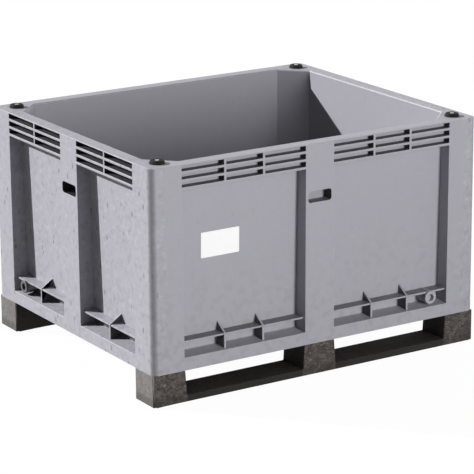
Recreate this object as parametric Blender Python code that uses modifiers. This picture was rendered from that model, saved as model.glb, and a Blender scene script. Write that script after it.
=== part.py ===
"""Plastic pallet box: a ribbed open tub, moulded in one piece, that stands on two runners.

Metres, +Z up. The origin is on the floor under the middle of the box, X runs along the long
sides and Y along the short sides. Heights on the box are measured up from its underside, and
depths inwards from the outer face of each side.
"""
import math

import bmesh
import bpy
from mathutils import Matrix

# Overall sizes
LENGTH = 1.200
WIDTH = 1.000
BOX_HEIGHT = 0.640
RUNNER_HEIGHT = 0.100

# Gaps between pieces that touch, and between turning pieces
SEAT_GAP = 0.0003
TURN_GAP = 0.0003

# Outer posts: one at each corner and one in the middle of each side
CORNER_ROUND = 0.022
CORNER_POST = 0.107
MIDDLE_POST = 0.104
POST_DRAFT = 0.002

# Side panels, recessed between the posts and leaning in towards the floor
PANEL_DEPTH_TOP = 0.043
PANEL_DEPTH_FOOT = 0.051
WALL = 0.005

# Three rows of rib cells under the rim, and the hollows that run up behind them
RIM_LIP = 0.004
CELL_ROWS = 3
CELL_HEIGHT = 0.0165
CELL_DEPTH = 0.027
HOLLOW_INSET = 0.003
RIB = 0.008
DIVIDER = 0.008
LONG_DIVIDER_SPREAD = 0.138

# Bottom band, the shoulder that rises behind it, and the ledge and gussets above
BAND_HEIGHT = 0.041
SHOULDER_RISE = 0.0065
LEDGE_TOP = 0.090
LEDGE_THICKNESS = 0.006
LEDGE_SETBACK = 0.011
GUSSET = 0.007
GUSSET_SETBACK = 0.009
GUSSET_RISE = 0.030

# Tub inside
FLOOR_TOP = 0.052
FLOOR_THICKNESS = 0.005
TUB_CHAMFER = 0.080
FLOOR_COVE = 0.012
RIM_BREAK = 0.003
FLOOR_RIB = 0.005
FIELD_COLUMNS = 10
FIELD_ROWS = 7
LONG_STRIP_POCKETS = 4
SHORT_STRIP_POCKETS = 3

# Hand hold in each middle post
HOLD_WIDTH = 0.085
HOLD_HEIGHT = 0.036
HOLD_DEPTH = 0.038
HOLD_ROUND = 0.009
HOLD_CENTRE = 0.472

# Runners: a rail with three feet, each foot cored from below
RUNNER_WIDTH = 0.116
RAIL = 0.022
FOOT_LENGTH = 0.112
FOOT_DRAFT = 0.005
RUNNER_ROUND = 0.010
CORE_WALL = 0.012
CORE_ROOF = 0.016

# Screws that hold the runners, and the bosses in the box that take them
SCREW_DIAMETER = 0.008
SCREW_SPREAD = 0.064
SCREW_EDGE = 0.016
SCREW_BITE = 0.032
SCREW_HEAD = 0.016
SCREW_HEAD_HEIGHT = 0.006
SCREW_HEAD_BREAK = 0.002
SCREW_SOCKET = 0.006
SCREW_SOCKET_DEPTH = 0.0035
COUNTERBORE = 0.020
COUNTERBORE_DEPTH = 0.058
BOSS = 0.024
BOSS_HEIGHT = 0.044

# Stacking studs on the rim corners, each held by a countersunk screw
STUD_INSET = 0.056
STUD_BASE = 0.048
STUD_TOP = 0.040
STUD_HEIGHT = 0.010
STUD_FOOT = 0.003
STUD_SCREW = 0.006
STUD_SCREW_HEAD = 0.013
STUD_SCREW_BITE = 0.028
STUD_SOCKET = 0.004
STUD_SOCKET_DEPTH = 0.002

# Drain spouts with screw plugs
DRAIN_HEIGHT = 0.070
DRAIN_FROM_POST = 0.062
SPOUT_DIAMETER = 0.043
SPOUT_SETBACK = 0.010
DRAIN_BORE = 0.030
PLUG_FLANGE = 0.043
PLUG_FLANGE_THICKNESS = 0.005
PLUG_SHANK_LENGTH = 0.016
PLUG_EDGE_BREAK = 0.0012
PLUG_SOCKET = 0.022
PLUG_SOCKET_DEPTH = 0.013
SEAL_DIAMETER = 0.040
SEAL_THICKNESS = 0.002

# Bare label plate on the front side
LABEL_WIDTH = 0.136
LABEL_HEIGHT = 0.080
LABEL_THICKNESS = 0.0012
LABEL_ROUND = 0.003
LABEL_FROM_POST = 0.091
LABEL_CENTRE = 0.367

# Facets of round shapes, and how far cutters run past what they cut
CORNER_FACETS = 6
SMALL_FACETS = 4
LARGE_STEPS = 32
STUD_STEPS = 28
SCREW_STEPS = 16
HEX = 6
OVERRUN = 0.010
EMBED = 0.002
MERGE = 0.00001
SMOOTH_ANGLE = math.radians(35)

# Sizes that follow from those above
PANEL_TOP = BOX_HEIGHT - RIM_LIP - CELL_ROWS * (CELL_HEIGHT + RIB)
RIM_Z = RUNNER_HEIGHT + BOX_HEIGHT
FOOT_CENTRE = (LENGTH - FOOT_LENGTH) / 2
FOOT_HEIGHT = RUNNER_HEIGHT - SEAT_GAP
SCREW_Y = WIDTH / 2 - RUNNER_WIDTH + SCREW_EDGE

# Each side: turn about Z, distance of its face from the middle, length, divider places
LONG_DIVIDERS = (-LONG_DIVIDER_SPREAD / 2, LONG_DIVIDER_SPREAD / 2)
SHORT_DIVIDERS = (0.0,)
SIDES = {
    "front": (0.0, WIDTH / 2, LENGTH, LONG_DIVIDERS),
    "right": (math.pi / 2, LENGTH / 2, WIDTH, SHORT_DIVIDERS),
    "rear": (math.pi, WIDTH / 2, LENGTH, LONG_DIVIDERS),
    "left": (-math.pi / 2, LENGTH / 2, WIDTH, SHORT_DIVIDERS),
}


def panel_depth(height):
    """Depth of the panel's outer surface at a height on the box."""
    lean = (PANEL_DEPTH_FOOT - PANEL_DEPTH_TOP) / (PANEL_TOP - LEDGE_TOP)
    return PANEL_DEPTH_FOOT - lean * (height - LEDGE_TOP)


def side_matrix(side):
    """Side frame: x along the side, y inwards from its face, z up from the box's underside."""
    turn, reach, _, _ = SIDES[side]
    face = (reach * math.sin(turn), -reach * math.cos(turn), RUNNER_HEIGHT)
    return Matrix.Translation(face) @ Matrix.Rotation(turn, 4, "Z")


def panel_runs(side):
    """Start and end of the two panels of a side, measured along it at the panels' top."""
    half = SIDES[side][2] / 2
    run = (-half + CORNER_POST, -MIDDLE_POST / 2)
    return run, (-run[1], -run[0])


def divider_places(side, run):
    """Where the dividers and gussets of one panel stand along its side."""
    middle = (run[0] + run[1]) / 2
    return [middle + offset for offset in SIDES[side][3]]


def drain_place(side):
    """Place of a side's drain axis along it: the front drain lies right, the left one left."""
    first, second = panel_runs(side)
    return second[1] - DRAIN_FROM_POST if side == "front" else first[0] + DRAIN_FROM_POST


def start_clean():
    """Remove what the scene holds and make the two collections."""
    for item in list(bpy.data.objects):
        bpy.data.objects.remove(item, do_unlink=True)
    parts = bpy.data.collections.new("pallet_box")
    cutters = bpy.data.collections.new("cutters")
    for collection in (parts, cutters):
        bpy.context.scene.collection.children.link(collection)
    return parts, cutters


def principled(name, colour, roughness, metallic=0.0):
    """Plain material with one Principled BSDF."""
    material = bpy.data.materials.new(name)
    material.use_nodes = True
    shader = material.node_tree.nodes["Principled BSDF"]
    shader.inputs["Base Color"].default_value = (*colour, 1.0)
    shader.inputs["Roughness"].default_value = roughness
    shader.inputs["Metallic"].default_value = metallic
    return material


def add_object(name, mesh, collection, matrix=None, material=None):
    """Link a mesh as a named object, shaded smooth across its shallow edges."""
    if material is not None and not mesh.materials:
        mesh.materials.append(material)
    mesh.shade_smooth()
    mesh.set_sharp_from_angle(angle=SMOOTH_ANGLE)
    item = bpy.data.objects.new(name, mesh)
    item.matrix_world = matrix or Matrix.Identity(4)
    collection.objects.link(item)
    return item


def add_cutter(name, bm):
    """Turn a bmesh into a hidden object that others are cut by or joined with."""
    bmesh.ops.recalc_face_normals(bm, faces=bm.faces)
    mesh = bpy.data.meshes.new(name)
    bm.to_mesh(mesh)
    bm.free()
    item = bpy.data.objects.new(name, mesh)
    item.display_type = "WIRE"
    item.hide_render = True
    CUTTERS.objects.link(item)
    return item


def boolean(item, tool, operation):
    """Add a Boolean modifier."""
    modifier = item.modifiers.new(tool.name, "BOOLEAN")
    modifier.operation = operation
    modifier.solver = "EXACT"
    modifier.object = tool


def evaluated_mesh(item):
    """Mesh of an object as its modifiers leave it; the object is removed."""
    bpy.context.view_layer.update()
    graph = bpy.context.evaluated_depsgraph_get()
    mesh = bpy.data.meshes.new_from_object(item.evaluated_get(graph))
    mesh.name = item.name
    bpy.data.objects.remove(item, do_unlink=True)
    return mesh


def add_box(bm, low, high, matrix=Matrix.Identity(4)):
    """Add a box between two corners to a bmesh."""
    size = [b - a for a, b in zip(low, high)]
    middle = [(a + b) / 2 for a, b in zip(low, high)]
    place = matrix @ Matrix.Translation(middle) @ Matrix.Diagonal((*size, 1.0))
    bmesh.ops.create_cube(bm, size=1.0, matrix=place)


def add_cylinder(bm, diameter, start, end, matrix, steps=LARGE_STEPS):
    """Add a cylinder along the local z axis between two heights to a bmesh."""
    place = matrix @ Matrix.Translation((0, 0, (start + end) / 2))
    bmesh.ops.create_cone(bm, cap_ends=True, segments=steps, radius1=diameter / 2,
                          radius2=diameter / 2, depth=end - start, matrix=place)


def round_edges(bm, edges, radius, facets):
    """Round a set of edges of a bmesh."""
    bmesh.ops.bevel(bm, geom=edges, offset=radius, segments=facets, profile=0.5, affect="EDGES")


def edges_along(bm, axis):
    """Edges of a bmesh that run along one axis."""
    others = [i for i in range(3) if i != axis]
    spans = [(edge, edge.verts[0].co - edge.verts[1].co) for edge in bm.edges]
    return [edge for edge, span in spans if max(abs(span[i]) for i in others) < MERGE]


def outline_mesh(name, points, thickness):
    """Closed mesh of a flat outline, thickened evenly to both sides of its plane."""
    curve = bpy.data.curves.new(name, "CURVE")
    curve.dimensions = "2D"
    curve.fill_mode = "BOTH"
    curve.extrude = thickness / 2
    spline = curve.splines.new("POLY")
    spline.points.add(len(points) - 1)
    for point, (x, y) in zip(spline.points, points):
        point.co = (x, y, 0.0, 1.0)
    spline.use_cyclic_u = True
    item = bpy.data.objects.new(name, curve)
    CUTTERS.objects.link(item)
    mesh = evaluated_mesh(item)
    bpy.data.curves.remove(curve)
    return mesh


def add_outline(bm, points, thickness, matrix, lean=0.0):
    """Add a thickened outline to a bmesh; lean draws its two ends in towards its lowest points."""
    mesh = outline_mesh("outline", points, thickness)
    lowest = min(y for _, y in points)
    height = max(y for _, y in points) - lowest
    for vertex in mesh.vertices:
        drawn_in = lean * (1 - (vertex.co.y - lowest) / height)
        vertex.co.z -= math.copysign(drawn_in, vertex.co.z)
    mesh.transform(matrix)
    bm.from_mesh(mesh)
    bpy.data.meshes.remove(mesh)
    bmesh.ops.remove_doubles(bm, verts=bm.verts, dist=MERGE)


def turned_piece(name, profile, steps, closed=False):
    """Object of a profile turned about Z; closed joins the profile's last point to its first."""
    bm = bmesh.new()
    points = [bm.verts.new((radius, 0.0, height)) for radius, height in profile]
    for start, end in zip(points, points[1:]):
        bm.edges.new((start, end))
    if closed:
        bm.edges.new((points[-1], points[0]))
    mesh = bpy.data.meshes.new(name)
    bm.to_mesh(mesh)
    bm.free()
    item = bpy.data.objects.new(name, mesh)
    CUTTERS.objects.link(item)
    turn = item.modifiers.new("turn", "SCREW")
    turn.axis = "Z"
    turn.steps = steps
    turn.render_steps = steps
    turn.use_merge_vertices = True
    turn.merge_threshold = MERGE
    return item


def cut_socket(item, across_flats, top, depth):
    """Cut a hexagon socket down into a turned piece from a height, and return the mesh."""
    bm = bmesh.new()
    across_corners = across_flats / math.cos(math.pi / HEX)
    add_cylinder(bm, across_corners, top - depth, top + OVERRUN, Matrix.Identity(4), HEX)
    tool = add_cutter(item.name + "_socket", bm)
    boolean(item, tool, "DIFFERENCE")
    mesh = evaluated_mesh(item)
    bpy.data.objects.remove(tool, do_unlink=True)
    return mesh


# Frame of an outline on a side: its x is depth, its y is height, its thickness runs along
OUTLINE_TO_SIDE = Matrix(((0, 0, 1, 0), (1, 0, 0, 0), (0, 1, 0, 0), (0, 0, 0, 1)))


def recess_cutter():
    """Spaces in front of the eight panels, from the bottom band up to the lowest rib."""
    outline = [
        (-OVERRUN, BAND_HEIGHT),
        (0.0, BAND_HEIGHT),
        (PANEL_DEPTH_FOOT, BAND_HEIGHT + SHOULDER_RISE),
        (PANEL_DEPTH_FOOT, LEDGE_TOP - LEDGE_THICKNESS),
        (LEDGE_SETBACK, LEDGE_TOP - LEDGE_THICKNESS),
        (LEDGE_SETBACK, LEDGE_TOP),
        (PANEL_DEPTH_FOOT, LEDGE_TOP),
        (PANEL_DEPTH_TOP, PANEL_TOP),
        (-OVERRUN, PANEL_TOP),
    ]
    bm = bmesh.new()
    for side in SIDES:
        for start, end in panel_runs(side):
            middle = Matrix.Translation(((start + end) / 2, 0, 0))
            place = side_matrix(side) @ middle @ OUTLINE_TO_SIDE
            add_outline(bm, outline, end - start, place, POST_DRAFT)
    return add_cutter("recesses", bm)


def gusset_tool():
    """Upright plates that cross the ledge and stiffen it against the panel and the band."""
    back = PANEL_DEPTH_FOOT + EMBED
    foot = BAND_HEIGHT - EMBED
    outline = [
        (GUSSET_SETBACK, foot),
        (back, foot),
        (back, LEDGE_TOP + GUSSET_RISE),
        (LEDGE_SETBACK - EMBED, LEDGE_TOP),
        (GUSSET_SETBACK, LEDGE_TOP - LEDGE_THICKNESS),
    ]
    bm = bmesh.new()
    for side in SIDES:
        for run in panel_runs(side):
            for place in divider_places(side, run):
                along = Matrix.Translation((place, 0, 0))
                add_outline(bm, outline, GUSSET, side_matrix(side) @ along @ OUTLINE_TO_SIDE)
    return add_cutter("gussets", bm)


def drain_matrix(side):
    """Frame on a drain's axis at the spout's mouth, with z pointing out of the side."""
    mouth = Matrix.Translation((drain_place(side), SPOUT_SETBACK, DRAIN_HEIGHT))
    return side_matrix(side) @ mouth @ Matrix.Rotation(math.pi / 2, 4, "X")


def spout_tool():
    """Round spouts that stand out of the wall, their mouths just ahead of the ledge."""
    root = PANEL_DEPTH_FOOT + EMBED - SPOUT_SETBACK
    bm = bmesh.new()
    for side in DRAIN_SIDES:
        add_cylinder(bm, SPOUT_DIAMETER, -root, 0.0, drain_matrix(side))
    return add_cutter("spouts", bm)


def tub_ring(bm, height, inset):
    """One level of the tub's inside: a rectangle with chamfered corners."""
    half_x = LENGTH / 2 - inset
    half_y = WIDTH / 2 - inset
    corners = ((1, 1), (-1, 1), (-1, -1), (1, -1))
    ring = []
    for index, (x, y) in enumerate(corners):
        ends = [(x * (half_x - TUB_CHAMFER), y * half_y), (x * half_x, y * (half_y - TUB_CHAMFER))]
        ring += ends[::-1] if index % 2 == 0 else ends
    return [bm.verts.new((x, y, RUNNER_HEIGHT + height)) for x, y in ring]


def tub_cutter():
    """Inside of the tub: coved at the floor, leaning with the panels, eased at the rim."""
    cove = FLOOR_TOP + FLOOR_COVE
    neck = BOX_HEIGHT - RIM_BREAK
    levels = [
        (FLOOR_TOP, panel_depth(FLOOR_TOP) + WALL + FLOOR_COVE),
        (cove, panel_depth(cove) + WALL),
        (neck, panel_depth(neck) + WALL),
        (BOX_HEIGHT + OVERRUN, panel_depth(neck) + WALL - RIM_BREAK - OVERRUN),
    ]
    bm = bmesh.new()
    rings = [tub_ring(bm, height, inset) for height, inset in levels]
    for lower, upper in zip(rings, rings[1:]):
        for index in range(len(lower)):
            after = (index + 1) % len(lower)
            bm.faces.new((lower[index], lower[after], upper[after], upper[index]))
    bm.faces.new(rings[0][::-1])
    bm.faces.new(rings[-1])
    return add_cutter("tub", bm)


def cell_boxes(bm, side):
    """Three rows of rib cells over each panel of a side, and the hollows up behind them."""
    matrix = side_matrix(side)
    hollow_roof = BOX_HEIGHT - WALL
    for run in panel_runs(side):
        places = divider_places(side, run)
        starts = [run[0]] + [place + DIVIDER / 2 for place in places]
        ends = [place - DIVIDER / 2 for place in places] + [run[1]]
        for start, end in zip(starts, ends):
            for row in range(CELL_ROWS):
                top = BOX_HEIGHT - RIM_LIP - row * (CELL_HEIGHT + RIB)
                add_box(bm, (start, -OVERRUN, top - CELL_HEIGHT), (end, CELL_DEPTH, top), matrix)
            low = (start + HOLLOW_INSET, CELL_DEPTH + WALL, PANEL_TOP - EMBED)
            high = (end - HOLLOW_INSET, panel_depth(BOX_HEIGHT), hollow_roof)
            add_box(bm, low, high, matrix)


def hand_hold(bm, side):
    """Rounded hand hold sunk into a side's middle post."""
    half = HOLD_WIDTH / 2
    low = (-half, -OVERRUN, HOLD_CENTRE - HOLD_HEIGHT / 2)
    high = (half, HOLD_DEPTH, HOLD_CENTRE + HOLD_HEIGHT / 2)
    hold = bmesh.new()
    add_box(hold, low, high)
    round_edges(hold, edges_along(hold, 1), HOLD_ROUND, SMALL_FACETS)
    mesh = bpy.data.meshes.new("hold")
    hold.to_mesh(mesh)
    hold.free()
    mesh.transform(side_matrix(side))
    bm.from_mesh(mesh)
    bpy.data.meshes.remove(mesh)


def middle_hollow(bm, side):
    """Hollow in a middle post, open below and closed under its hand hold."""
    half = MIDDLE_POST / 2 - WALL
    roof = HOLD_CENTRE - HOLD_HEIGHT / 2 - WALL
    add_box(bm, (-half, WALL, -OVERRUN), (half, PANEL_DEPTH_TOP, roof), side_matrix(side))


def corner_hollows(bm):
    """Hollows in the four corner posts, open below, with two of their corners cut off."""
    edge = CORNER_POST - WALL
    diagonal = 2 * panel_depth(BOX_HEIGHT) + TUB_CHAMFER
    far = min(max(diagonal - edge, PANEL_DEPTH_TOP), edge - WALL)
    outline = [(CORNER_ROUND, WALL), (edge, WALL), (edge, far)]
    outline += [(b, a) for a, b in outline[::-1]]
    roof = BOX_HEIGHT - STUD_SCREW_BITE - WALL
    middle = (roof - OVERRUN) / 2 + RUNNER_HEIGHT
    for x in (-1, 1):
        for y in (-1, 1):
            points = [(x * (LENGTH / 2 - a), y * (WIDTH / 2 - b)) for a, b in outline]
            add_outline(bm, points, roof + OVERRUN, Matrix.Translation((0, 0, middle)))


def split_run(start, end, count):
    """Start and end of each pocket when ribs part a run into equal pockets."""
    step = (end - start + FLOOR_RIB) / count
    return [(start + i * step, start + (i + 1) * step - FLOOR_RIB) for i in range(count)]


def floor_pockets(bm):
    """Pockets between the ribs under the floor, clear of the runners' feet."""
    roof = FLOOR_TOP - FLOOR_THICKNESS + RUNNER_HEIGHT
    low = RUNNER_HEIGHT - OVERRUN
    half_x = LENGTH / 2 - PANEL_DEPTH_FOOT - WALL - FLOOR_RIB
    half_y = WIDTH / 2 - RUNNER_WIDTH - FLOOR_RIB
    for x_low, x_high in split_run(-half_x, half_x, FIELD_COLUMNS):
        for y_low, y_high in split_run(-half_y, half_y, FIELD_ROWS):
            add_box(bm, (x_low, y_low, low), (x_high, y_high, roof))
    for side in SIDES:
        edge_pockets(bm, side)


def edge_pockets(bm, side):
    """Pockets along one side, under the shoulder and, on a long side, between the feet."""
    long_side = side in ("front", "rear")
    matrix = side_matrix(side)
    foot = FOOT_LENGTH if long_side else RUNNER_WIDTH
    start = (FOOT_LENGTH if long_side else MIDDLE_POST) / 2 + FLOOR_RIB
    end = SIDES[side][2] / 2 - foot - FLOOR_RIB
    count = LONG_STRIP_POCKETS if long_side else SHORT_STRIP_POCKETS
    runs = split_run(start, end, count) + split_run(-end, -start, count)
    inner = PANEL_DEPTH_FOOT + WALL
    for a, b in runs:
        outer_high = (b, PANEL_DEPTH_FOOT - WALL, BAND_HEIGHT - WALL)
        add_box(bm, (a, WALL, -OVERRUN), outer_high, matrix)
        if long_side:
            inner_high = (b, RUNNER_WIDTH - FLOOR_RIB, FLOOR_TOP - FLOOR_THICKNESS)
            add_box(bm, (a, inner, -OVERRUN), inner_high, matrix)


def pocket_cutter():
    """Cells, hand holds, hollow posts and floor pockets, none of which meet each other."""
    bm = bmesh.new()
    for side in SIDES:
        cell_boxes(bm, side)
        hand_hold(bm, side)
        middle_hollow(bm, side)
    corner_hollows(bm)
    floor_pockets(bm)
    return add_cutter("pockets", bm)


def screw_places():
    """Name and place of each runner screw's axis."""
    feet = {"left": -FOOT_CENTRE, "middle": 0.0, "right": FOOT_CENTRE}
    for row, y in (("front", -SCREW_Y), ("rear", SCREW_Y)):
        for foot, x in feet.items():
            for number, offset in enumerate((-SCREW_SPREAD / 2, SCREW_SPREAD / 2), start=1):
                yield f"{row}_{foot}_{number}", x + offset, y


def stud_places():
    """Name and place of each stud's axis."""
    for row, y in (("front", -1), ("rear", 1)):
        for end, x in (("left", -1), ("right", 1)):
            yield f"{row}_{end}", x * (LENGTH / 2 - STUD_INSET), y * (WIDTH / 2 - STUD_INSET)


def boss_tool():
    """Round bosses over the runners' feet for the screws."""
    bm = bmesh.new()
    for _, x, y in screw_places():
        place = Matrix.Translation((x, y, RUNNER_HEIGHT))
        add_cylinder(bm, BOSS, SEAT_GAP, BOSS_HEIGHT, place, SCREW_STEPS)
    return add_cutter("bosses", bm)


def hole_cutter():
    """Drain bores and the holes that the screws go into."""
    bm = bmesh.new()
    through = panel_depth(FLOOR_TOP) + WALL + FLOOR_COVE + OVERRUN - SPOUT_SETBACK
    for side in DRAIN_SIDES:
        add_cylinder(bm, DRAIN_BORE, -through, OVERRUN, drain_matrix(side))
    for _, x, y in screw_places():
        place = Matrix.Translation((x, y, RUNNER_HEIGHT))
        depth = SCREW_BITE + SEAT_GAP
        add_cylinder(bm, SCREW_DIAMETER + 2 * SEAT_GAP, -OVERRUN, depth, place, SCREW_STEPS)
    for _, x, y in stud_places():
        place = Matrix.Translation((x, y, RIM_Z))
        depth = STUD_SCREW_BITE + SEAT_GAP
        add_cylinder(bm, STUD_SCREW + 2 * SEAT_GAP, -depth, OVERRUN, place, SCREW_STEPS)
    return add_cutter("holes", bm)


def make_body():
    """The grey box moulding."""
    bm = bmesh.new()
    low = (-LENGTH / 2, -WIDTH / 2, RUNNER_HEIGHT)
    high = (LENGTH / 2, WIDTH / 2, RIM_Z)
    add_box(bm, low, high)
    round_edges(bm, edges_along(bm, 2), CORNER_ROUND, CORNER_FACETS)
    mesh = bpy.data.meshes.new("box_body")
    bm.to_mesh(mesh)
    bm.free()
    body = add_object("box_body", mesh, PARTS, material=BODY_GREY)
    boolean(body, recess_cutter(), "DIFFERENCE")
    boolean(body, gusset_tool(), "UNION")
    boolean(body, spout_tool(), "UNION")
    boolean(body, tub_cutter(), "DIFFERENCE")
    boolean(body, pocket_cutter(), "DIFFERENCE")
    boolean(body, boss_tool(), "UNION")
    boolean(body, hole_cutter(), "DIFFERENCE")


def runner_outline():
    """Side view of a runner: a rail with three drafted feet."""
    half = LENGTH / 2
    outline = [(-half, 0.0), (half, 0.0), (half, FOOT_HEIGHT), (half - FOOT_LENGTH, FOOT_HEIGHT)]
    outline += [(half - FOOT_LENGTH - FOOT_DRAFT, RAIL), (FOOT_LENGTH / 2 + FOOT_DRAFT, RAIL)]
    outline += [(FOOT_LENGTH / 2, FOOT_HEIGHT)]
    return outline + [(-x, z) for x, z in outline[:1:-1]]


def make_runner(name, outward):
    """One runner, with its feet cored and drilled from below."""
    middle = outward * (WIDTH - RUNNER_WIDTH) / 2
    bm = bmesh.new()
    upright = Matrix.Rotation(math.pi / 2, 4, "X")
    place = Matrix.Translation((0, middle, 0)) @ upright
    add_outline(bm, runner_outline(), RUNNER_WIDTH, place)
    round_edges(bm, edges_along(bm, 2), RUNNER_ROUND, SMALL_FACETS)
    bmesh.ops.recalc_face_normals(bm, faces=bm.faces)
    mesh = bpy.data.meshes.new(name)
    bm.to_mesh(mesh)
    bm.free()
    runner = add_object(name, mesh, PARTS, material=RUNNER_BROWN)

    tool = bmesh.new()
    half = FOOT_LENGTH / 2 - CORE_WALL
    near = WIDTH / 2 - CORE_WALL
    far = SCREW_Y + COUNTERBORE / 2 + CORE_WALL / 2
    y_low, y_high = sorted((outward * near, outward * far))
    for x in (-FOOT_CENTRE, 0.0, FOOT_CENTRE):
        low = (x - half, y_low, -OVERRUN)
        add_box(tool, low, (x + half, y_high, RUNNER_HEIGHT - CORE_ROOF))
    boolean(runner, add_cutter(name + "_cores", tool), "DIFFERENCE")

    drilled = ((COUNTERBORE, COUNTERBORE_DEPTH), (SCREW_DIAMETER + 2 * SEAT_GAP, RUNNER_HEIGHT + OVERRUN))
    for number, (diameter, top) in enumerate(drilled, start=1):
        tool = bmesh.new()
        for _, x, y in screw_places():
            if y * outward > 0:
                add_cylinder(tool, diameter, -OVERRUN, top, Matrix.Translation((x, y, 0)), SCREW_STEPS)
        boolean(runner, add_cutter(f"{name}_drilling_{number}", tool), "DIFFERENCE")


def make_runner_screws():
    """Pan-head screws that stand head down in the feet's counterbores."""
    length = RUNNER_HEIGHT + SCREW_BITE - COUNTERBORE_DEPTH
    radius = SCREW_DIAMETER / 2
    head = SCREW_HEAD / 2
    profile = [
        (0.0, SCREW_HEAD_HEIGHT),
        (head - SCREW_HEAD_BREAK, SCREW_HEAD_HEIGHT),
        (head, SCREW_HEAD_HEIGHT - SCREW_HEAD_BREAK),
        (head, 0.0),
        (radius, 0.0),
        (radius, SCREW_DIAMETER - length),
        (0.0, -length),
    ]
    turned = turned_piece("runner_screw", profile, SCREW_STEPS)
    mesh = cut_socket(turned, SCREW_SOCKET, SCREW_HEAD_HEIGHT, SCREW_SOCKET_DEPTH)
    for name, x, y in screw_places():
        seat = Matrix.Translation((x, y, COUNTERBORE_DEPTH - SEAT_GAP))
        place = seat @ Matrix.Rotation(math.pi, 4, "X")
        add_object("runner_screw_" + name, mesh, PARTS, place, SCREW_ZINC)


def make_studs():
    """Black studs on the rim, each a cut cone with a countersunk hole."""
    hole = STUD_SCREW / 2 + SEAT_GAP
    sink = STUD_SCREW_HEAD / 2 + SEAT_GAP
    profile = [
        (sink, STUD_HEIGHT),
        (STUD_TOP / 2, STUD_HEIGHT),
        (STUD_BASE / 2, STUD_FOOT),
        (STUD_BASE / 2, 0.0),
        (hole, 0.0),
        (hole, STUD_HEIGHT - (sink - hole)),
    ]
    mesh = evaluated_mesh(turned_piece("stud", profile, STUD_STEPS, closed=True))
    for name, x, y in stud_places():
        place = Matrix.Translation((x, y, RIM_Z + SEAT_GAP))
        add_object("stud_" + name, mesh, PARTS, place, STUD_BLACK)


def make_stud_screws():
    """Countersunk screws that hold the studs, flush with their tops."""
    head = STUD_SCREW_HEAD / 2
    radius = STUD_SCREW / 2
    length = STUD_HEIGHT + STUD_SCREW_BITE
    profile = [
        (0.0, 0.0),
        (head, 0.0),
        (radius, radius - head),
        (radius, STUD_SCREW - length),
        (0.0, -length),
    ]
    turned = turned_piece("stud_screw", profile, SCREW_STEPS)
    mesh = cut_socket(turned, STUD_SOCKET, 0.0, STUD_SOCKET_DEPTH)
    for name, x, y in stud_places():
        place = Matrix.Translation((x, y, RIM_Z + STUD_HEIGHT + SEAT_GAP))
        add_object("stud_screw_" + name, mesh, PARTS, place, SCREW_ZINC)


def make_drains():
    """A sealing ring and a screw plug in each spout, both on the drain's axis."""
    shank = DRAIN_BORE / 2 - TURN_GAP
    flange = PLUG_FLANGE / 2
    top = PLUG_FLANGE_THICKNESS
    bottom = -PLUG_SHANK_LENGTH
    profile = [
        (0.0, top),
        (flange - PLUG_EDGE_BREAK, top),
        (flange, top - PLUG_EDGE_BREAK),
        (flange, 0.0),
        (shank, 0.0),
        (shank, bottom + PLUG_EDGE_BREAK),
        (shank - PLUG_EDGE_BREAK, bottom),
        (0.0, bottom),
    ]
    turned = turned_piece("drain_plug", profile, LARGE_STEPS)
    plug = cut_socket(turned, PLUG_SOCKET, top, PLUG_SOCKET_DEPTH)
    inner = shank + TURN_GAP
    outer = SEAL_DIAMETER / 2
    ring = [(inner, SEAL_THICKNESS), (outer, SEAL_THICKNESS), (outer, 0.0), (inner, 0.0)]
    seal = evaluated_mesh(turned_piece("drain_seal", ring, LARGE_STEPS, closed=True))
    for side in DRAIN_SIDES:
        seat = drain_matrix(side) @ Matrix.Translation((0, 0, SEAT_GAP))
        add_object("drain_seal_" + side, seal, PARTS, seat, SEAL_BLACK)
        stack = Matrix.Translation((0, 0, SEAL_THICKNESS + SEAT_GAP))
        add_object("drain_plug_" + side, plug, PARTS, seat @ stack, PLUG_GREY)


def make_label():
    """Bare label plate, flat on the leaning panel left of the front's middle post."""
    bm = bmesh.new()
    low = (-LABEL_WIDTH / 2, -SEAT_GAP - LABEL_THICKNESS, -LABEL_HEIGHT / 2)
    add_box(bm, low, (LABEL_WIDTH / 2, -SEAT_GAP, LABEL_HEIGHT / 2))
    round_edges(bm, edges_along(bm, 1), LABEL_ROUND, SMALL_FACETS)
    mesh = bpy.data.meshes.new("label_plate")
    bm.to_mesh(mesh)
    bm.free()
    left_panel = panel_runs("front")[0]
    along = left_panel[0] + LABEL_FROM_POST + LABEL_WIDTH / 2
    lean = math.atan2(PANEL_DEPTH_FOOT - PANEL_DEPTH_TOP, PANEL_TOP - LEDGE_TOP)
    middle = Matrix.Translation((along, panel_depth(LABEL_CENTRE), LABEL_CENTRE))
    place = side_matrix("front") @ middle @ Matrix.Rotation(lean, 4, "X")
    add_object("label_plate", mesh, PARTS, place, LABEL_WHITE)


# Sides that have a drain
DRAIN_SIDES = ("front", "left")

PARTS, CUTTERS = start_clean()
BODY_GREY = principled("body_grey", (0.372, 0.366, 0.402), 0.55)
RUNNER_BROWN = principled("runner_brown", (0.070, 0.060, 0.052), 0.75)
SCREW_ZINC = principled("screw_zinc", (0.55, 0.55, 0.53), 0.38, 0.9)
STUD_BLACK = principled("stud_black", (0.012, 0.012, 0.013), 0.60)
SEAL_BLACK = principled("seal_black", (0.015, 0.015, 0.015), 0.80)
PLUG_GREY = principled("plug_grey", (0.330, 0.325, 0.355), 0.50)
LABEL_WHITE = principled("label_white", (0.800, 0.800, 0.810), 0.45)

make_body()
make_runner("runner_front", -1)
make_runner("runner_rear", 1)
make_runner_screws()
make_studs()
make_stud_screws()
make_drains()
make_label()
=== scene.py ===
"""Grey plastic pallet box on two dark runners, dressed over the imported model."""

import math

import bmesh
import bpy
from mathutils import Matrix, Vector


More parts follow.
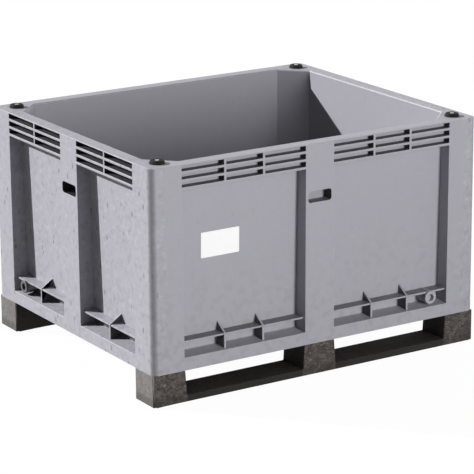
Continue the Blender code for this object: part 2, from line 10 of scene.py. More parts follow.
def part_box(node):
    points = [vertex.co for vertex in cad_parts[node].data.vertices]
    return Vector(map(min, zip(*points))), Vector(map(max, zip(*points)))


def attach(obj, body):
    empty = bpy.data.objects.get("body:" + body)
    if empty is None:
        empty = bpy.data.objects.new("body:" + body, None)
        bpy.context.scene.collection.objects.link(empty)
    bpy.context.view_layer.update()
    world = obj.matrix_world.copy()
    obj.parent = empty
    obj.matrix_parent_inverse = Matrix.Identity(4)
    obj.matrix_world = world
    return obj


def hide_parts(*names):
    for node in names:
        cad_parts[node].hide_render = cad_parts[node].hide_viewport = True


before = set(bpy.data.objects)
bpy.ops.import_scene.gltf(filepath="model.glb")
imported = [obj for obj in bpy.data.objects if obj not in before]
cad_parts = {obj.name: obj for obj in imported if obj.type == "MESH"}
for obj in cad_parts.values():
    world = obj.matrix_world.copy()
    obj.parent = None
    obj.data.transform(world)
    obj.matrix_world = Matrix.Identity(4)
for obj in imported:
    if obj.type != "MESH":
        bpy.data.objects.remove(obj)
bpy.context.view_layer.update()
scene = bpy.context.scene


# Runners: two skids pressed from coarse recycled plastic, each a rail with three feet in one piece.
# Chips of many colours show in the dark mass, the faces are rough and the edges are blunt from the
# press. Screws through the feet hold each runner against the bottom of the box.


class Wire:
    """One socket of a node tree. Sums and products of wires add Math nodes to the tree."""

    def __init__(self, socket):
        self.socket = socket
        self.tree = socket.id_data

    @staticmethod
    def pick(sockets, name):
        """A socket by its place, its identifier or its name."""
        if isinstance(name, int):
            return sockets[name]
        return next(s for s in sockets if name in (s.identifier, s.name))

    @staticmethod
    def node(tree, kind, settings=None, values=None, out=0):
        """Adds a node, applies its settings, feeds its sockets and gives one of its outputs."""
        made = tree.nodes.new(kind)
        for name, value in (settings or {}).items():
            setattr(made, name, value)
        for name, value in (values or {}).items():
            socket = Wire.pick(made.inputs, name)
            for one in value if isinstance(value, list) else [value]:
                if isinstance(one, Wire):
                    tree.links.new(one.socket, socket)
                else:
                    socket.default_value = one
        return Wire(Wire.pick(made.outputs, out))

    def feed(self, shader, name):
        """Links the wire to a shader's socket."""
        self.tree.links.new(self.socket, shader.inputs[name])

    def maths(self, operation, first, second=0.0, clamp=False):
        """Adds one Math node to the wire's tree."""
        settings = {"operation": operation, "use_clamp": clamp}
        return Wire.node(self.tree, "ShaderNodeMath", settings, {0: first, 1: second})

    def __add__(self, other):
        return self.maths("ADD", self, other)

    def __radd__(self, other):
        return self.maths("ADD", other, self)

    def __sub__(self, other):
        return self.maths("SUBTRACT", self, other)

    def __rsub__(self, other):
        return self.maths("SUBTRACT", other, self)

    def __mul__(self, other):
        return self.maths("MULTIPLY", self, other)

    def __rmul__(self, other):
        return self.maths("MULTIPLY", other, self)

    def __truediv__(self, other):
        return self.maths("DIVIDE", self, other)

    def __neg__(self):
        return self.maths("MULTIPLY", self, -1.0)

    def __abs__(self):
        return self.maths("ABSOLUTE", self)

    def limited(self):
        """The value held between 0 and 1."""
        return self.maths("ADD", self, 0.0, clamp=True)

    def above(self, low, high):
        """Goes from 0 to 1 as the value goes from low to high, which may be downwards."""
        settings = {"interpolation_type": "SMOOTHSTEP"}
        values = {"Value": self, "From Min": low, "From Max": high}
        return Wire.node(self.tree, "ShaderNodeMapRange", settings, values)


def new_finish(name):
    """An empty material with its tree and its shader."""
    material = bpy.data.materials.new(name)
    material.use_nodes = True
    return material, material.node_tree, material.node_tree.nodes["Principled BSDF"]


def own_place(tree, stretch=(1.0, 1.0, 1.0)):
    """Object coordinates, scaled along the axes."""
    place = Wire.node(tree, "ShaderNodeTexCoord", out="Object")
    return Wire.node(tree, "ShaderNodeMapping", values={"Vector": place, "Scale": stretch})


def parted(tree, place):
    """The three coordinates of a place."""
    values = {"Vector": place}
    return [Wire.node(tree, "ShaderNodeSeparateXYZ", values=values, out=axis) for axis in "XYZ"]


def cloud(tree, place, scale, detail=3.0, rough=0.5):
    """Soft noise from 0 to 1, with about scale lumps a metre."""
    values = {"Vector": place, "Scale": scale, "Detail": detail, "Roughness": rough}
    return Wire.node(tree, "ShaderNodeTexNoise", values=values, out="Fac")


def flecks(tree, place, scale, out):
    """Voronoi cells, about scale of them a metre: the colour of each or the distance in it."""
    values = {"Vector": place, "Scale": scale}
    return Wire.node(tree, "ShaderNodeTexVoronoi", values=values, out=out)


def blend(first, second, share):
    """Two colours mixed by a share, where either may be a wire or a colour."""
    values = {"Factor_Float": share}
    for name, colour in (("A_Color", first), ("B_Color", second)):
        values[name] = colour if isinstance(colour, Wire) else (*colour, 1.0)
    return Wire.node(share.tree, "ShaderNodeMix", {"data_type": "RGBA"}, values, "Result_Color")


def bumped(height, strength, distance):
    """Normal of a surface with that height over it."""
    values = {"Height": height, "Strength": strength, "Distance": distance}
    return Wire.node(height.tree, "ShaderNodeBump", values=values)


def marked(tree, name):
    """A mark on the mesh: worn and grimy from eased_copy, or the painted-shade mark from the
    piece's own section.
    """
    return Wire.node(tree, "ShaderNodeAttribute", {"attribute_name": name}, out="Fac")


def eased_copy(name, node, width, shortest, material):
    """A copy of a solid, with its sharp edges rounded where they are longer than the shortest.

    The middle of a rounded outer edge is marked worn and that of an inner edge grimy.
    """
    weld, flat, sharp_from = 0.00002, math.radians(0.5), math.radians(25)
    bm = bmesh.new()
    bm.from_mesh(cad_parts[node].data)
    bmesh.ops.remove_doubles(bm, verts=bm.verts, dist=weld)
    bmesh.ops.dissolve_limit(bm, angle_limit=flat, verts=bm.verts, edges=bm.edges)
    shared = [edge for edge in bm.edges if len(edge.link_faces) == 2]
    sharp = [edge for edge in shared if edge.calc_face_angle() > sharp_from]
    for edge in sharp:
        edge.smooth = False
    chosen = [edge for edge in sharp if edge.calc_length() > shortest]
    made = bmesh.ops.bevel(bm, geom=chosen, offset=width, segments=2, profile=0.5, affect="EDGES")
    rounded = set(made["faces"])
    worn = bm.verts.layers.float.new("worn")
    grimy = bm.verts.layers.float.new("grimy")
    for edge in bm.edges:
        if any(face in rounded for face in edge.link_faces):
            edge.smooth = True
    for vertex in bm.verts:
        if vertex.link_faces and all(face in rounded for face in vertex.link_faces):
            bend = sum(edge.calc_face_angle_signed(0.0) for edge in vertex.link_edges)
            vertex[worn if bend > 0 else grimy] = 1.0
    low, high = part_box(node)
    for vertex in bm.verts:
        vertex.co = [min(max(a, b), c) for a, b, c in zip(low, vertex.co, high)]
    for face in bm.faces:
        face.smooth = True
        face.material_index = 0
    mesh = bpy.data.meshes.new(name)
    bm.to_mesh(mesh)
    bm.free()
    mesh.materials.append(material)
    piece = bpy.data.objects.new(name, mesh)
    scene.collection.objects.link(piece)
    piece.modifiers.new("level faces", "WEIGHTED_NORMAL").keep_sharp = True
    return plain_mesh(piece)


def plain_mesh(piece):
    """Turns a piece into the plain mesh that its modifiers leave."""
    bpy.context.view_layer.update()
    graph = bpy.context.evaluated_depsgraph_get()
    mesh = bpy.data.meshes.new_from_object(piece.evaluated_get(graph))
    mesh.name = piece.name
    piece.modifiers.clear()
    piece.data = mesh
    return piece


MASS_DARK, MASS_PALE = (0.034, 0.028, 0.026), (0.120, 0.099, 0.090)
CHIP_PALE, CHIP_DARK = (0.23, 0.205, 0.18), (0.018, 0.015, 0.014)
STAIN, RUBBED_BROWN = (0.026, 0.022, 0.020), (0.22, 0.198, 0.172)
END_GREY, WET_AND_SHADE_BLACK = (0.255, 0.240, 0.228), (0.005, 0.0045, 0.0042)
CREASE_BROWN, ENTRY_SHADE_BLACK = (0.016, 0.014, 0.013), (0.006, 0.005, 0.005)
# A pair of distances says where a colour starts and where it is full.
END_FACE = (0.594, 0.598)
RAIL_TOP = (0.034, 0.018)
ENTRY_MIDDLE, ENTRY_HALF = 0.272, (0.214, 0.206)

recycled, tree, shader = new_finish("recycled_brown_plastic")
place = own_place(tree)
along = own_place(tree, (0.65, 1.0, 1.0))
lumps = cloud(tree, along, scale=62.0, detail=6.0, rough=0.62)
patches = cloud(tree, place, scale=9.0)
chips = flecks(tree, along, scale=260.0, out="Color")
chip_value = Wire.node(tree, "ShaderNodeSeparateColor", values={"Color": chips}, out="Red")
x, _, z = parted(tree, place)
colour = blend(MASS_DARK, MASS_PALE, lumps.above(0.32, 0.72))
colour = blend(colour, CHIP_PALE, chip_value.above(0.93, 0.97) * 0.5)
colour = blend(colour, CHIP_DARK, chip_value.above(0.14, 0.09) * 0.7)
colour = blend(colour, STAIN, patches.above(0.52, 0.75) * 0.5)
colour = blend(colour, RUBBED_BROWN, marked(tree, "worn") * lumps.above(0.40, 0.62) * 0.5)
colour = blend(colour, END_GREY, abs(x).above(*END_FACE) * (0.30 + 0.5 * lumps))
in_entry = abs(abs(x) - ENTRY_MIDDLE).above(*ENTRY_HALF)
# Painted shade: the rail is darkened low down, partly as wet dirt and, more strongly in the fork
# entries, as the shade under the box.
wet_and_shade = z.above(*RAIL_TOP) * (0.40 + 0.60 * in_entry)
colour = blend(colour, WET_AND_SHADE_BLACK, (wet_and_shade * (0.80 + 0.3 * patches)).limited())
colour = blend(colour, CREASE_BROWN, marked(tree, "grimy") * 0.7)
# Painted shade: near black where the painted-shade mark is set on the runner's faces.
colour = blend(colour, ENTRY_SHADE_BLACK, marked(tree, "dusty") * (0.80 + 0.20 * lumps))
colour.feed(shader, "Base Color")
(0.70 + 0.22 * lumps).feed(shader, "Roughness")
pits = chip_value.above(0.20, 0.02)
relief = lumps + 0.35 * chip_value - 0.5 * pits
bumped(relief, strength=0.7, distance=0.0026).feed(shader, "Normal")
shader.inputs["Specular IOR Level"].default_value = 0.30

# Painted shade: the feet's sides in the fork entries and the faces towards the other runner are
# painted near black, where shade falls under the box.
RUNNER_ROUND, RUNNER_SHORTEST = 0.0035, 0.009
FACING, OUTER_END, ENTRY_SHADE = 0.8, 0.59, 0.85
for side, inward in (("front", 1), ("rear", -1)):
    node = f"runner_{side}"
    runner = eased_copy(f"skid_{side}", node, RUNNER_ROUND, RUNNER_SHORTEST, recycled)
    dusty = runner.data.attributes.new("dusty", "FLOAT", "FACE")
    for face, mark in zip(runner.data.polygons, dusty.data):
        foot_side = abs(face.normal.x) > FACING and abs(face.center.x) < OUTER_END
        mark.value = ENTRY_SHADE * (foot_side or face.normal.y * inward > FACING)
    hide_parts(node)
    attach(runner, "box")


# Runner screws: twelve zinc-plated steel screws with hexagon sockets, driven up through the feet.
# Their heads sit deep in the counterbores and their threads bite into the bosses of the box.

CREST = 0.3


def new_tree(name, sizes):
    """An empty Geometry Nodes tree with a named input for each size."""
    group = bpy.data.node_groups.new(name, "GeometryNodeTree")
    group.is_modifier = True
    for way in ("INPUT", "OUTPUT"):
        group.interface.new_socket("Geometry", in_out=way, socket_type="NodeSocketGeometry")
    for size in sizes:
        group.interface.new_socket(size, in_out="INPUT", socket_type="NodeSocketFloat")
    return group


def lifted(tree, shape, height):
    """A shape moved up."""
    shift = Wire.node(tree, "ShaderNodeCombineXYZ", values={"Z": height})
    values = {"Geometry": shape, "Translation": shift}
    return Wire.node(tree, "GeometryNodeTransform", values=values)


def drum(tree, low, high, radius, sides=32):
    """Closed cylinder between two heights."""
    values = {"Vertices": sides, "Radius": radius, "Depth": high - low}
    body = Wire.node(tree, "GeometryNodeMeshCylinder", values=values, out="Mesh")
    return lifted(tree, body, (high + low) / 2)


def taper(tree, low, high, foot, top, sides=32):
    """Closed cut cone between two heights, with one radius at its foot and another at its top."""
    values = {"Vertices": sides, "Radius Top": top, "Radius Bottom": foot, "Depth": high - low}
    return lifted(tree, Wire.node(tree, "GeometryNodeMeshCone", values=values, out="Mesh"), low)


def thread(tree, low, high, core, pitch):
    """Ridge that winds round a core; its crest stands out by a share of the pitch."""
    values = {"Resolution": 20, "Rotations": (high - low) / pitch, "Start Radius": core,
              "End Radius": core, "Height": high - low}
    path = Wire.node(tree, "GeometryNodeCurveSpiral", values=values)
    values = {"Resolution": 5, "Radius": pitch * CREST}
    ridge = Wire.node(tree, "GeometryNodeCurvePrimitiveCircle", values=values, out="Curve")
    values = {"Curve": path, "Profile Curve": ridge, "Fill Caps": True}
    return lifted(tree, Wire.node(tree, "GeometryNodeCurveToMesh", values=values), low)


def combined(tree, operation, first, *others):
    """Union or difference of closed shapes."""
    settings = {"operation": operation, "solver": "EXACT"}
    if operation == "UNION":
        values = {"Mesh 2": [first, *others]}
    else:
        values = {"Mesh 1": first, "Mesh 2": list(others)}
    return Wire.node(tree, "GeometryNodeMeshBoolean", settings, values, "Mesh")


def close_tree(tree, shapes, turned_over, material):
    """Sets the joined shapes on each point, in one mesh, with their material."""
    shape = Wire.node(tree, "GeometryNodeJoinGeometry", values={"Geometry": shapes})
    turn = Wire.node(tree, "ShaderNodeCombineXYZ", values={"X": turned_over})
    turn = Wire.node(tree, "FunctionNodeEulerToRotation", values={"Euler": turn})
    points = Wire.node(tree, "NodeGroupInput", out="Geometry")
    values = {"Points": points, "Instance": shape, "Rotation": turn}
    copies = Wire.node(tree, "GeometryNodeInstanceOnPoints", values=values)
    real = Wire.node(tree, "GeometryNodeRealizeInstances", values={"Geometry": copies})
    values = {"Geometry": real, "Material": material}
    dressed = Wire.node(tree, "GeometryNodeSetMaterial", values=values)
    result = tree.nodes.new("NodeGroupOutput")
    tree.links.new(dressed.socket, result.inputs[0])


def grown(name, tree, points, sizes, crease=40):
    """Runs a tree on some points with its sizes and gives the piece as a plain mesh."""
    mesh = bpy.data.meshes.new(name)
    mesh.from_pydata(points, [], [])
    piece = bpy.data.objects.new(name, mesh)
    scene.collection.objects.link(piece)
    modifier = piece.modifiers.new(name, "NODES")
    modifier.node_group = tree
    for socket in tree.interface.items_tree:
        if socket.name in sizes:
            modifier[socket.identifier] = sizes[socket.name]
    plain_mesh(piece)
    piece.data.shade_smooth()
    piece.data.set_sharp_from_angle(angle=math.radians(crease))
    return piece


ZINC_GREY, ZINC_PALE, ZINC_TARNISH = (0.50, 0.50, 0.49), (0.66, 0.65, 0.60), (0.16, 0.15, 0.14)

zinc, tree, shader = new_finish("zinc_plated_steel")
place = own_place(tree)
bloom = cloud(tree, place, scale=90.0, detail=5.0, rough=0.6)
tarnish = cloud(tree, place, scale=260.0, detail=4.0)
spangle = cloud(tree, place, scale=900.0, detail=2.0)
colour = blend(ZINC_GREY, ZINC_PALE, bloom.above(0.35, 0.65))
colour = blend(colour, ZINC_TARNISH, tarnish.above(0.60, 0.74) * 0.6)
colour.feed(shader, "Base Color")
(0.26 + 0.30 * bloom).feed(shader, "Roughness")
(0.95 - 0.5 * bloom.above(0.62, 0.80)).feed(shader, "Metallic")
bumped(spangle, strength=0.15, distance=0.0004).feed(shader, "Normal")

SCREW_SIZES = ("Shank radius", "Length", "Seat radius", "Head radius", "Head height",
               "Socket radius", "Socket depth", "Pitch", "Turned over")
SCREW_SIDES, HEXAGON = 24, 6
POINT_SHARE, ROOT_SHARE, THREADED_TO = 0.06, 0.15, 0.25
screw_tree = new_tree("socket_screw", SCREW_SIZES)
size = {name: Wire.node(screw_tree, "NodeGroupInput", out=name) for name in SCREW_SIZES}
seat_level = size["Length"] * 0.0
core = size["Shank radius"] - size["Pitch"] * CREST
tip = size["Shank radius"] * 2.0 - size["Length"]
head = taper(screw_tree, seat_level, size["Head height"], size["Seat radius"], size["Head radius"])
key = drum(screw_tree, size["Head height"] - size["Socket depth"],
           size["Head height"] + size["Socket depth"], size["Socket radius"], HEXAGON)
head = combined(screw_tree, "DIFFERENCE", head, key)
shank = drum(screw_tree, tip, size["Head height"] * ROOT_SHARE, core, SCREW_SIDES)
point = taper(screw_tree, -size["Length"], tip, core * POINT_SHARE, core, SCREW_SIDES)
winding = thread(screw_tree, tip, tip * THREADED_TO, core, size["Pitch"])
close_tree(screw_tree, [head, shank, point, winding], size["Turned over"], zinc)

HEAD_HEIGHT = 0.006
names = sorted(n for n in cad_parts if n.startswith("runner_screw_"))
seats = []
for name in names:
    low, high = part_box(name)
    seats.append(((low.x + high.x) / 2, (low.y + high.y) / 2, low.z + HEAD_HEIGHT))
low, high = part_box(names[0])
runner_screws = grown("runner_screws", screw_tree, seats, {
    "Shank radius": 0.004, "Length": high.z - low.z - HEAD_HEIGHT, "Seat radius": 0.008,
    "Head radius": 0.0068, "Head height": HEAD_HEIGHT, "Socket radius": 0.003464,
    "Socket depth": 0.0035, "Pitch": 0.0030, "Turned over": math.pi,
})
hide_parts(*names)
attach(runner_screws, "box")


# Box: one injection moulding in grey high-density polyethylene, with a satin skin and rounded
# edges. Handling leaves it scuffed on the short sides, polished on the outer edges, grimy in the
# inner edges and dirty low down; painted shade darkens its rounded corners, its inside and its deep
# hollows.
GREY_DARK, GREY_PALE = (0.322, 0.317, 0.354), (0.396, 0.391, 0.434)
MOTTLE_DARK, MOTTLE_PALE = (0.235, 0.228, 0.250), (0.520, 0.515, 0.555)
SCRATCH_PALE, SPECK_DARK = (0.52, 0.515, 0.55), (0.120, 0.112, 0.112)
CORNER_SHADE, INSIDE_SHADE = (0.150, 0.145, 0.155), (0.130, 0.124, 0.130)
SPLASH_BROWN, PAINTED_SHADE_BLACK = (0.205, 0.190, 0.180), (0.008, 0.008, 0.008)
POLISHED_EDGE, CREASE_GRIME = (0.60, 0.595, 0.635), (0.135, 0.128, 0.130)

polyethylene, tree, shader = new_finish("grey_polyethylene")
place = own_place(tree)
x, y, z = parted(tree, place)
broad = cloud(tree, place, scale=3.2, detail=4.0)
fine = cloud(tree, place, scale=34.0, detail=4.0)
flow = cloud(tree, own_place(tree, (1.0, 1.0, 0.12)), scale=16.0)
tone = (broad - 0.5) * 0.16 + (fine - 0.5) * 0.10 + (flow - 0.5) * 0.14 + 0.5
colour = blend(GREY_DARK, GREY_PALE, tone.limited())

# Scuffs: the short sides and the corner posts are rubbed, scratched and speckled, and the rounded
# corners are darkened with painted shade. The walls lean by the draft, and the rubbed part starts
# within the short walls, just behind their outer faces.
DRAFT, SHORT_WALL = 0.0169, (0.5423, 0.5450)
ROUND_X, ROUND_Y = (0.580, 0.591), (0.476, 0.490)
rubbed = (abs(x) - DRAFT * z).above(*SHORT_WALL)
mottle = cloud(tree, place, scale=55.0, detail=4.0, rough=0.6)
colour = blend(colour, MOTTLE_DARK, mottle.above(0.50, 0.74) * (0.05 + 0.50 * rubbed))
colour = blend(colour, MOTTLE_PALE, mottle.above(0.46, 0.26) * (0.05 + 0.42 * rubbed))
level_marks = cloud(tree, own_place(tree, (1.0, 1.0, 26.0)), scale=9.0, detail=5.0, rough=0.6)
steep_marks = cloud(tree, own_place(tree, (22.0, 22.0, 1.0)), scale=7.0, detail=5.0, rough=0.6)
handled = cloud(tree, place, scale=5.5).above(0.50, 0.66)
scratches = (level_marks.above(0.64, 0.70) + steep_marks.above(0.66, 0.72)) * handled
scratches = scratches.limited()
colour = blend(colour, SCRATCH_PALE, scratches * 0.34)
spots = flecks(tree, own_place(tree, (1.0, 1.0, 0.5)), scale=40.0, out="Distance")
few = cloud(tree, place, scale=15.0, detail=2.0).above(0.47, 0.58)
specks = spots.above(0.23, 0.14) * few * (0.10 + 0.80 * rubbed)
colour = blend(colour, SPECK_DARK, specks * 0.62)
# Painted shade: the rounded vertical corners are darkened.
round_corner_shade = abs(x).above(*ROUND_X) * abs(y).above(*ROUND_Y)
colour = blend(colour, CORNER_SHADE, round_corner_shade * 0.45)

# Dirt and painted shade: painted shade inside the tub that darkens towards its floor, splashes low
# down, painted black shade where the marks below put it, grime in the inner edges and pale outer
# edges.
LONG_WALL, TUB_FLOOR, TUB_SHADE_FALL = (0.4450, 0.4423), (0.148, 0.151), (0.70, 0.20)
SPLASH_HEIGHT = (0.52, 0.12)
inside = (1.0 - rubbed) * (abs(y) - DRAFT * z).above(*LONG_WALL) * z.above(*TUB_FLOOR)
colour = blend(colour, INSIDE_SHADE, inside * (0.12 + 0.30 * z.above(*TUB_SHADE_FALL)))
splash = z.above(*SPLASH_HEIGHT) * fine.above(0.46, 0.66)
colour = blend(colour, SPLASH_BROWN, splash * 0.20)
# Painted shade: near black where the painted-shade mark is set on the box's faces.
colour = blend(colour, PAINTED_SHADE_BLACK, marked(tree, "dusty") * (0.88 + 0.12 * fine))
worn = marked(tree, "worn") * (0.45 + 0.55 * fine.above(0.42, 0.58))
grime = marked(tree, "grimy") * (0.40 + 0.60 * fine.above(0.38, 0.60))
colour = blend(colour, POLISHED_EDGE, worn * 0.55)
colour = blend(colour, CREASE_GRIME, grime * 0.55)
colour.feed(shader, "Base Color")
gloss_lost = 0.10 * fine + 0.16 * scratches + 0.14 * specks - 0.08 * worn
(0.44 + gloss_lost).feed(shader, "Roughness")
grain = cloud(tree, place, scale=1300.0, detail=2.0)
relief = grain * 0.00010 + broad * 0.0016 - scratches * 0.00006
bumped(relief, strength=0.9, distance=1.0).feed(shader, "Normal")
shader.inputs["Specular IOR Level"].default_value = 0.28

# Painted shade in black, marked face by face by how deep a face lies behind its side: in the rib
# cells, in the hand holds, on the gussets' sides and under the short ledges, and on the tops of the
# cells' floors and the long ledges, where it is partly dust. The gussets' places count from the
# middle of a short side, and then of a long one.
BOX_ROUND, BOX_SHORTEST = 0.0013, 0.0034
SKIN = 0.002
CELL_FLOOR, CELL_ROOF, CELL_BACK = 0.6625, 0.7370, 0.0300
CELL_TOPS, CELL_REST, CELL_SHORT_SIDE = 0.85, 0.06, 0.95
HOLD_FLOOR, HOLD_ROOF, HOLD_HALF, HOLD_BACK = 0.5530, 0.5910, 0.0440, 0.0400
HOLD_ENDS, HOLD_TOPS, HOLD_REST, HOLD_SHORT_SIDE = 1.3, 0.6, 0.12, 1.0
GUSSET_FLOOR, GUSSET_TIP, GUSSET_HALF, GUSSET_FRONT = 0.1450, 0.2210, 0.0060, 0.010
GUSSET_PLACES = ((0.2225,), (0.2035, 0.3415))
GUSSET_FACING, GUSSET_SHADE = 0.9, 0.80
LEDGE_FOOT, LEDGE_TOP, LEDGE_FRONT, LEDGE_BACK = 0.1480, 0.1905, 0.012, 0.0520
LEDGE_TOPS, LEDGE_UNDER, LEDGE_EDGE = 0.55, 0.85, 0.003

box_shell = eased_copy("box_shell", "box_body", BOX_ROUND, BOX_SHORTEST, polyethylene)
_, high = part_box("box_body")
dusty = box_shell.data.attributes.new("dusty", "FLOAT", "FACE")
for face, mark in zip(box_shell.data.polygons, dusty.data):
    depths = [reach - abs(middle) for middle, reach in zip(face.center.xy, high.xy)]
    long_side = depths.index(min(depths))
    depth, offset = depths[long_side], abs(face.center[1 - long_side])
    endward, upward = abs(face.normal[1 - long_side]), face.normal.z
    height = face.center.z
    in_hold = HOLD_FLOOR < height < HOLD_ROOF and offset < HOLD_HALF
    if SKIN < depth < CELL_BACK and CELL_FLOOR < height < CELL_ROOF:
        cover = max(endward, CELL_TOPS * upward, CELL_REST)
        mark.value = cover if long_side else CELL_SHORT_SIDE
    elif SKIN < depth < HOLD_BACK and in_hold:
        cover = min(1.0, max(HOLD_ENDS * endward, HOLD_TOPS * upward, HOLD_REST))
        mark.value = cover if long_side else HOLD_SHORT_SIDE
    elif depth > GUSSET_FRONT and GUSSET_FLOOR < height < GUSSET_TIP and endward > GUSSET_FACING:
        near = [abs(offset - middle) < GUSSET_HALF for middle in GUSSET_PLACES[long_side]]
        mark.value = GUSSET_SHADE * any(near)
    elif LEDGE_FRONT < depth < LEDGE_BACK and LEDGE_FOOT < height < LEDGE_TOP:
        cover = LEDGE_UNDER * (height < LEDGE_TOP - LEDGE_EDGE)
        mark.value = LEDGE_TOPS * max(upward, 0.0) if long_side else cover
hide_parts("box_body")
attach(box_shell, "box")


# Stacking studs: four black moulded cones on the rim corners that locate the box above.
# The plastic is matt, dulled by dust on top and rubbed at the outer edge.
STUD_BLACK, STUD_DUSTY = (0.0035, 0.0035, 0.0040), (0.011, 0.011, 0.012)
STUD_RUBBED = (0.040, 0.039, 0.038)
STUD_ROUND, STUD_SHORTEST = 0.0009, 0.0030

black, tree, shader = new_finish("black_stud_plastic")
place = own_place(tree)
dust = cloud(tree, place, scale=130.0, detail=5.0, rough=0.6)
grain = cloud(tree, place, scale=1500.0, detail=2.0)
colour = blend(STUD_BLACK, STUD_DUSTY, dust.above(0.35, 0.70))
colour = blend(colour, STUD_RUBBED, marked(tree, "worn") * dust.above(0.40, 0.60) * 0.5)
colour.feed(shader, "Base Color")
(0.66 + 0.20 * dust).feed(shader, "Roughness")
bumped(grain, strength=0.2, distance=0.0004).feed(shader, "Normal")
shader.inputs["Specular IOR Level"].default_value = 0.16

for row in ("front", "rear"):
    for end in ("left", "right"):
        node = f"stud_{row}_{end}"
        stud = eased_copy(f"cone_{row}_{end}", node, STUD_ROUND, STUD_SHORTEST, black)
        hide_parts(node)
        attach(stud, "box")


# Stud screws: four countersunk screws of the same zinc-plated steel, one down through each stud.
# They hold the studs on the rim, and their heads with hexagon sockets are flush with the tops.
SINK = 0.0035
names = sorted(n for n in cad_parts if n.startswith("stud_screw_"))
seats = []
for name in names:
    low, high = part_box(name)
    seats.append(((low.x + high.x) / 2, (low.y + high.y) / 2, high.z - SINK))
low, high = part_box(names[0])
stud_screws = grown("stud_screws", screw_tree, seats, {
    "Shank radius": 0.003, "Length": high.z - low.z - SINK, "Seat radius": 0.003,
    "Head radius": 0.0065, "Head height": SINK, "Socket radius": 0.00231,
    "Socket depth": 0.002, "Pitch": 0.0022, "Turned over": 0.0,
})
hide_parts(*names)
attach(stud_screws, "box")


# Drain seals: flat rings of black rubber, squeezed between each spout and the flange of its plug.
# They sit on the plugs' shanks, and the solids' own shape is kept.
RUBBER_BLACK, RUBBER_BLOOM = (0.009, 0.009, 0.009), (0.034, 0.033, 0.032)

rubber, tree, shader = new_finish("black_seal_rubber")
place = own_place(tree)
bloom = cloud(tree, place, scale=240.0, detail=4.0, rough=0.6)
grain = cloud(tree, place, scale=2600.0, detail=2.0)
blend(RUBBER_BLACK, RUBBER_BLOOM, bloom.above(0.38, 0.72)).feed(shader, "Base Color")
(0.66 + 0.22 * bloom).feed(shader, "Roughness")
bumped(grain, strength=0.25, distance=0.0003).feed(shader, "Normal")
for side in ("front", "left"):
    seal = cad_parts[f"drain_seal_{side}"]
    seal.data.materials.clear()
    seal.data.materials.append(rubber)


# Drain plugs: screw plugs moulded in the grey of the box, with a flange, a hexagon socket and a
# coarse thread. They are a little glossier than the box, because keys and hands have rubbed them,
# and the one in the short side is darkened with painted shade.
PLUG_DARK, PLUG_PALE = (0.300, 0.296, 0.330), (0.400, 0.396, 0.436)
PLUG_SOIL, PLUG_SHADE = (0.120, 0.113, 0.110), (0.040, 0.037, 0.035)
SHADED_END = (-0.560, -0.575)

plug_grey, tree, shader = new_finish("plug_polyethylene")
place = own_place(tree)
x, _, _ = parted(tree, place)
fine = cloud(tree, place, scale=120.0, detail=4.0)
soil = cloud(tree, place, scale=60.0, detail=4.0)
rub = cloud(tree, place, scale=700.0)
colour = blend(PLUG_DARK, PLUG_PALE, fine)
colour = blend(colour, PLUG_SOIL, soil.above(0.54, 0.72) * 0.45)
# Painted shade: the plug in the short side is darkened.
colour = blend(colour, PLUG_SHADE, x.above(*SHADED_END) * (0.70 + 0.30 * fine))
colour.feed(shader, "Base Color")
(0.36 + 0.20 * fine).feed(shader, "Roughness")
bumped(rub, strength=0.18, distance=0.0004).feed(shader, "Normal")

PLUG_SIZES = ("Flange radius", "Flange thickness", "Edge", "Shank radius", "Shank length",
              "Socket radius", "Socket depth", "Pitch", "Turned over")
FLANGE_SIDES, SHANK_SIDES = 64, 48
THREAD_GAP = 0.35
plug_tree = new_tree("screw_plug", PLUG_SIZES)
size = {name: Wire.node(plug_tree, "NodeGroupInput", out=name) for name in PLUG_SIZES}
seat_level = size["Edge"] * 0.0
top = size["Flange thickness"]
shoulder = top - size["Edge"]
core = size["Shank radius"] - size["Pitch"] * CREST
foot = size["Edge"] - size["Shank length"]
flange = drum(plug_tree, seat_level, shoulder, size["Flange radius"], FLANGE_SIDES)
crown = taper(plug_tree, shoulder, top, size["Flange radius"],
              size["Flange radius"] - size["Edge"], FLANGE_SIDES)
shank = drum(plug_tree, foot, seat_level, core, SHANK_SIDES)
nose = taper(plug_tree, -size["Shank length"], foot, core - size["Edge"], core, SHANK_SIDES)
plug = combined(plug_tree, "UNION", flange, crown, shank, nose)
key = drum(plug_tree, top - size["Socket depth"], top + size["Socket depth"],
           size["Socket radius"], HEXAGON)
plug = combined(plug_tree, "DIFFERENCE", plug, key)
winding = thread(plug_tree, foot, -size["Pitch"] * THREAD_GAP, core, size["Pitch"])
close_tree(plug_tree, [plug, winding], size["Turned over"], plug_grey)

FLANGE_THICKNESS = 0.005
for side, outward in (("front", Vector((0, -1, 0))), ("left", Vector((-1, 0, 0)))):
    node = f"drain_plug_{side}"
    low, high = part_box(node)
    middle = (low + high) / 2
    length = abs((high - low).dot(outward))
    plug = grown(f"screw_plug_{side}", plug_tree, [(0, 0, 0)], {
        "Flange radius": 0.0215, "Flange thickness": FLANGE_THICKNESS, "Edge": 0.0012,
        "Shank radius": 0.0147, "Shank length": length - FLANGE_THICKNESS,
        "Socket radius": 0.0127, "Socket depth": 0.013, "Pitch": 0.0035, "Turned over": 0.0,
    })
    seat = middle + outward * (length / 2 - FLANGE_THICKNESS)
    turn = outward.to_track_quat("Z", "Y").to_matrix().to_4x4()
    plug.data.transform(Matrix.Translation(seat) @ turn)
    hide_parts(node)
    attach(plug, f"{side}_plug")


# Label plate: a thin bare plate of white plastic on the front panel, smooth, with faint smudges.
# It lies flat against the panel, and the solid's own shape is kept.
LABEL_WHITE, LABEL_BRIGHT = (0.955, 0.955, 0.96), (0.975, 0.975, 0.98)
LABEL_SMUDGE = (0.70, 0.69, 0.69)

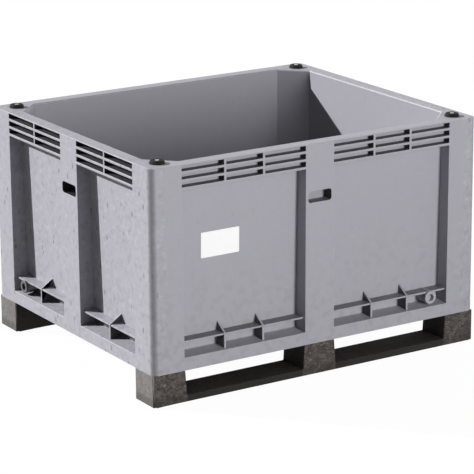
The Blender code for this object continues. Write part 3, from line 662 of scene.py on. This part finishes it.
white, tree, shader = new_finish("white_label_plastic")
fibre = cloud(tree, own_place(tree, (1.0, 1.0, 3.0)), scale=160.0, detail=4.0)
smudge = cloud(tree, own_place(tree), scale=26.0, detail=4.0)
colour = blend(LABEL_WHITE, LABEL_BRIGHT, fibre)
colour = blend(colour, LABEL_SMUDGE, smudge.above(0.58, 0.80) * 0.22)
colour.feed(shader, "Base Color")
(0.34 + 0.18 * smudge).feed(shader, "Roughness")
bumped(fibre, strength=0.10, distance=0.0004).feed(shader, "Normal")
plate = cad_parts["label_plate"]
plate.data.materials.clear()
plate.data.materials.append(white)


# Studio: a plain pale floor that keeps a faint shadow, and a white surround. A hard key stands at
# the rear left, a soft fill low in front of the long side and a weaker one beyond the right end.


def seen_directly(tree):
    """1 for rays that show the surface itself, 0 for those that gather its light."""
    names = ("Is Camera Ray", "Is Glossy Ray", "Is Transmission Ray")
    return sum(Wire.node(tree, "ShaderNodeLightPath", out=name) for name in names).limited()


FLOOR_BOUNCE, FLOOR_SEEN = (0.25, 0.25, 0.25), (0.95, 0.95, 0.95)
FLOOR_GLOW, FLOOR_HALF = 0.975, 20.0
SKY_LIGHT = 0.03

floor_white, tree, shader = new_finish("floor_white")
shader.inputs["Roughness"].default_value = 0.9
seen = seen_directly(tree)
blend(FLOOR_BOUNCE, FLOOR_SEEN, seen).feed(shader, "Base Color")
glow = Wire.node(tree, "ShaderNodeEmission", values={"Strength": 1.0})
values = {0: seen * FLOOR_GLOW, 1: Wire(shader.outputs[0]), 2: glow}
shown = Wire.node(tree, "ShaderNodeMixShader", values=values)
tree.links.new(shown.socket, tree.nodes["Material Output"].inputs["Surface"])

bm = bmesh.new()
bmesh.ops.create_grid(bm, x_segments=1, y_segments=1, size=FLOOR_HALF)
mesh = bpy.data.meshes.new("studio_floor")
bm.to_mesh(mesh)
bm.free()
mesh.materials.append(floor_white)
floor = bpy.data.objects.new("studio_floor", mesh)
scene.collection.objects.link(floor)

world = bpy.data.worlds.new("studio")
scene.world = world
world.use_nodes = True
sky = world.node_tree.nodes["Background"]
sky.inputs["Color"].default_value = (1.0, 1.0, 1.0, 1.0)
(SKY_LIGHT + (1.0 - SKY_LIGHT) * seen_directly(world.node_tree)).feed(sky, "Strength")


def lamp(name, kind, energy, toward, distance=0.0, wide=1.0, tall=1.0):
    """A lamp that stands in one direction from the middle of the box and shines at it."""
    light = bpy.data.lights.new(name, kind)
    light.energy = energy
    if kind == "AREA":
        light.shape = "RECTANGLE"
        light.size, light.size_y = wide, tall
    item = bpy.data.objects.new(name, light)
    toward = Vector(toward).normalized()
    box_middle = Vector((0.0, 0.0, 0.4))
    stand = Matrix.Translation(box_middle + toward * distance)
    item.matrix_world = stand @ toward.to_track_quat("Z", "Y").to_matrix().to_4x4()
    scene.collection.objects.link(item)
    return light


lamp("key", "SUN", 6.0, (-1.0, 1.15, 0.75)).angle = math.radians(1.2)
lamp("fill", "AREA", 765.0, (0.16, -1.0, 0.19), distance=10.0, wide=1.8, tall=4.3)
lamp("back_fill", "AREA", 150.0, (1.0, 0.22, 0.10), distance=7.0, wide=3.0, tall=1.2)

CAMERA_PLACE, CAMERA_LENS = (-4.114, -6.503, 2.530), 187.0
azimuth, elevation, roll = (math.radians(angle) for angle in (-32.415, 16.014, -0.395))
back = Vector((math.sin(azimuth) * math.cos(elevation), -math.cos(azimuth) * math.cos(elevation),
               math.sin(elevation)))
level = Vector((0, 0, 1)).cross(back).normalized()
upright = back.cross(level)
right = math.cos(roll) * level + math.sin(roll) * upright
up = math.cos(roll) * upright - math.sin(roll) * level
camera = bpy.data.cameras.new("camera")
camera.lens = CAMERA_LENS
camera_stand = bpy.data.objects.new("camera", camera)
turn = Matrix((right, up, back)).transposed().to_4x4()
camera_stand.matrix_world = Matrix.Translation(CAMERA_PLACE) @ turn
scene.collection.objects.link(camera_stand)
scene.camera = camera_stand
scene.view_settings.view_transform = "Standard"
